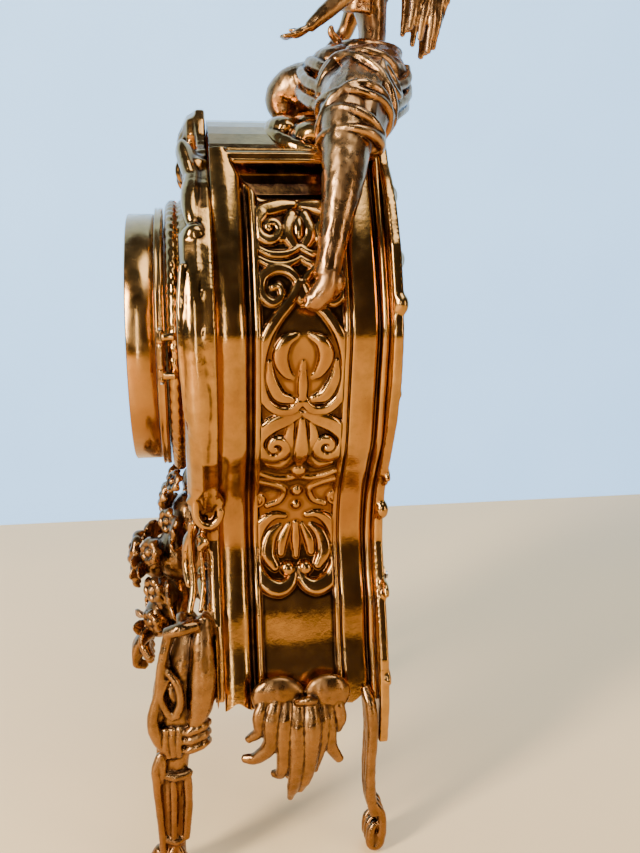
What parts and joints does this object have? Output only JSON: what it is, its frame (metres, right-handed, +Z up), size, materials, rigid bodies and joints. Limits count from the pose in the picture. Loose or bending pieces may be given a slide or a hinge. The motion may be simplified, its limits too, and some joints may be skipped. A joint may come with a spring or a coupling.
{
  "type": "mantel clock",
  "caption": "Cast-brass rococo mantel clock with hinged glazed bezel, hands, pendulum movement, bell, scrolled legs and a seated winged figure on top.",
  "frame": {"origin": "middle of the whole clock in plan, at the height of its feet", "axes": "+Z up, the dial faces -Y, and the figure's leg hangs over the +X side"},
  "size_m": [0.1954, 0.176, 0.489],
  "materials": {
    "cast_brass": "aged cast",
    "polished_brass": "polished",
    "steel": "turned",
    "blued_steel": "blued",
    "glass": "clear",
    "enamel": "glazed"
  },
  "bodies": {
    "case": {"side_panel_right": "cast_brass", "side_panel_left": "cast_brass", "side_leaf_right": "cast_brass", "side_leaf_left": "cast_brass", "front_plate": "cast_brass", "front_garland": "cast_brass", "back_plate": "cast_brass", "case_rod_1": "steel", "case_rod_2": "steel", "case_rod_3": "steel", "case_rod_4": "steel", "case_rod_nut_1": "polished_brass", "case_rod_nut_2": "polished_brass", "case_rod_nut_3": "polished_brass", "case_rod_nut_4": "polished_brass", "back_leg_right": "cast_brass", "back_leg_left": "cast_brass", "top_plate": "cast_brass", "figure_mound": "cast_brass", "figure_body": "cast_brass", "figure_wings": "cast_brass", "figure_stud": "steel", "figure_nut": "polished_brass", "bezel_seat": "cast_brass", "bezel_hinge_pin": "steel", "dial": "enamel", "back_door_hinge_pin": "steel", "movement_front_plate": "polished_brass", "movement_back_plate": "polished_brass", "movement_pillar_1": "polished_brass", "movement_pillar_2": "polished_brass", "movement_pillar_3": "polished_brass", "movement_pillar_4": "polished_brass", "suspension_cock": "polished_brass", "minute_wheel_stud": "steel", "bell": "polished_brass", "bell_stand": "steel"},
    "bezel": {"bezel_rim": "polished_brass", "bezel_sight_ring": "polished_brass", "bezel_glass": "glass", "bezel_flange": "polished_brass"},
    "back_door": {"back_door": "polished_brass", "back_door_knob": "polished_brass"},
    "centre": {"centre_arbor": "polished_brass", "minute_hand": "blued_steel", "hand_nut": "polished_brass"},
    "hour": {"hour_wheel": "polished_brass", "hour_hand": "blued_steel"},
    "minute_gear": {"minute_wheel": "polished_brass"},
    "going_drum": {"going_barrel": "polished_brass"},
    "third": {"third_wheel": "polished_brass"},
    "escape": {"escape_wheel": "steel"},
    "anchor": {"anchor": "steel"},
    "pendulum": {"pendulum": "polished_brass"},
    "strike_drum": {"strike_barrel": "polished_brass"},
    "pin_gear": {"strike_pin_wheel": "polished_brass"},
    "fly": {"strike_fly": "polished_brass"},
    "hammer": {"hammer": "steel"},
    "going_winder": {"going_winding_arbor": "steel"},
    "strike_winder": {"strike_winding_arbor": "steel"}
  },
  "joints": [
    {"name": "bezel_hinge", "type": "hinge", "parent": "case", "child": "bezel", "pos_m": [0.07, -0.0623, 0.264], "axis": [0, 0, 1], "range_deg": [0, 110]},
    {"name": "back_door_hinge", "type": "hinge", "parent": "case", "child": "back_door", "pos_m": [0.055, 0.0476, 0.264], "axis": [0, 0, -1], "range_deg": [0, 110]},
    {"name": "centre_turn", "type": "hinge", "parent": "case", "child": "centre", "pos_m": [0, -0.03, 0.264], "axis": [0, 1, 0], "continuous": true},
    {"name": "hour_turn", "type": "hinge", "parent": "case", "child": "hour", "pos_m": [0, -0.039, 0.264], "axis": [0, 1, 0], "continuous": true},
    {"name": "minute_wheel_turn", "type": "hinge", "parent": "case", "child": "minute_gear", "pos_m": [0, -0.036, 0.288], "axis": [0, 1, 0], "continuous": true},
    {"name": "going_barrel_turn", "type": "hinge", "parent": "case", "child": "going_drum", "pos_m": [0.024, -0.017, 0.25], "axis": [0, 1, 0], "continuous": true},
    {"name": "third_wheel_turn", "type": "hinge", "parent": "case", "child": "third", "pos_m": [0.012, -0.01, 0.282], "axis": [0, 1, 0], "continuous": true},
    {"name": "escape_wheel_turn", "type": "hinge", "parent": "case", "child": "escape", "pos_m": [0, -0.01, 0.295], "axis": [0, 1, 0], "continuous": true},
    {"name": "pendulum_swing", "type": "hinge", "parent": "case", "child": "pendulum", "pos_m": [0, 0.0165, 0.309], "axis": [0, 1, 0], "range_deg": [-4, 4]},
    {"name": "anchor_rock", "type": "hinge", "parent": "case", "child": "anchor", "pos_m": [0, 0, 0.309], "axis": [0, 1, 0], "range_deg": [-4, 4]},
    {"name": "strike_barrel_turn", "type": "hinge", "parent": "case", "child": "strike_drum", "pos_m": [-0.024, -0.017, 0.25], "axis": [0, 1, 0], "continuous": true},
    {"name": "strike_pin_wheel_turn", "type": "hinge", "parent": "case", "child": "pin_gear", "pos_m": [-0.03119, -0.01, 0.27684], "axis": [0, 1, 0], "continuous": true},
    {"name": "strike_fly_turn", "type": "hinge", "parent": "case", "child": "fly", "pos_m": [-0.02643, 0, 0.28992], "axis": [0, 1, 0], "continuous": true},
    {"name": "hammer_lift", "type": "hinge", "parent": "case", "child": "hammer", "pos_m": [-0.036, 0.014, 0.23], "axis": [0, -1, 0], "range_deg": [0, 12]},
    {"name": "going_winding_turn", "type": "hinge", "parent": "case", "child": "going_winder", "pos_m": [0.024, -0.03, 0.25], "axis": [0, 1, 0], "continuous": true},
    {"name": "strike_winding_turn", "type": "hinge", "parent": "case", "child": "strike_winder", "pos_m": [-0.024, -0.03, 0.25], "axis": [0, 1, 0], "continuous": true}
  ],
  "couplings": [
    {"joint": "hour_turn", "follows": "centre_turn", "ratio": 0.083333},
    {"joint": "minute_wheel_turn", "follows": "centre_turn", "ratio": -0.33333},
    {"joint": "going_barrel_turn", "follows": "centre_turn", "ratio": -0.16667},
    {"joint": "third_wheel_turn", "follows": "centre_turn", "ratio": -5},
    {"joint": "escape_wheel_turn", "follows": "centre_turn", "ratio": 25},
    {"joint": "anchor_rock", "follows": "pendulum_swing", "ratio": 1},
    {"joint": "strike_pin_wheel_turn", "follows": "strike_barrel_turn", "ratio": -6},
    {"joint": "strike_fly_turn", "follows": "strike_barrel_turn", "ratio": 30}
  ]
}
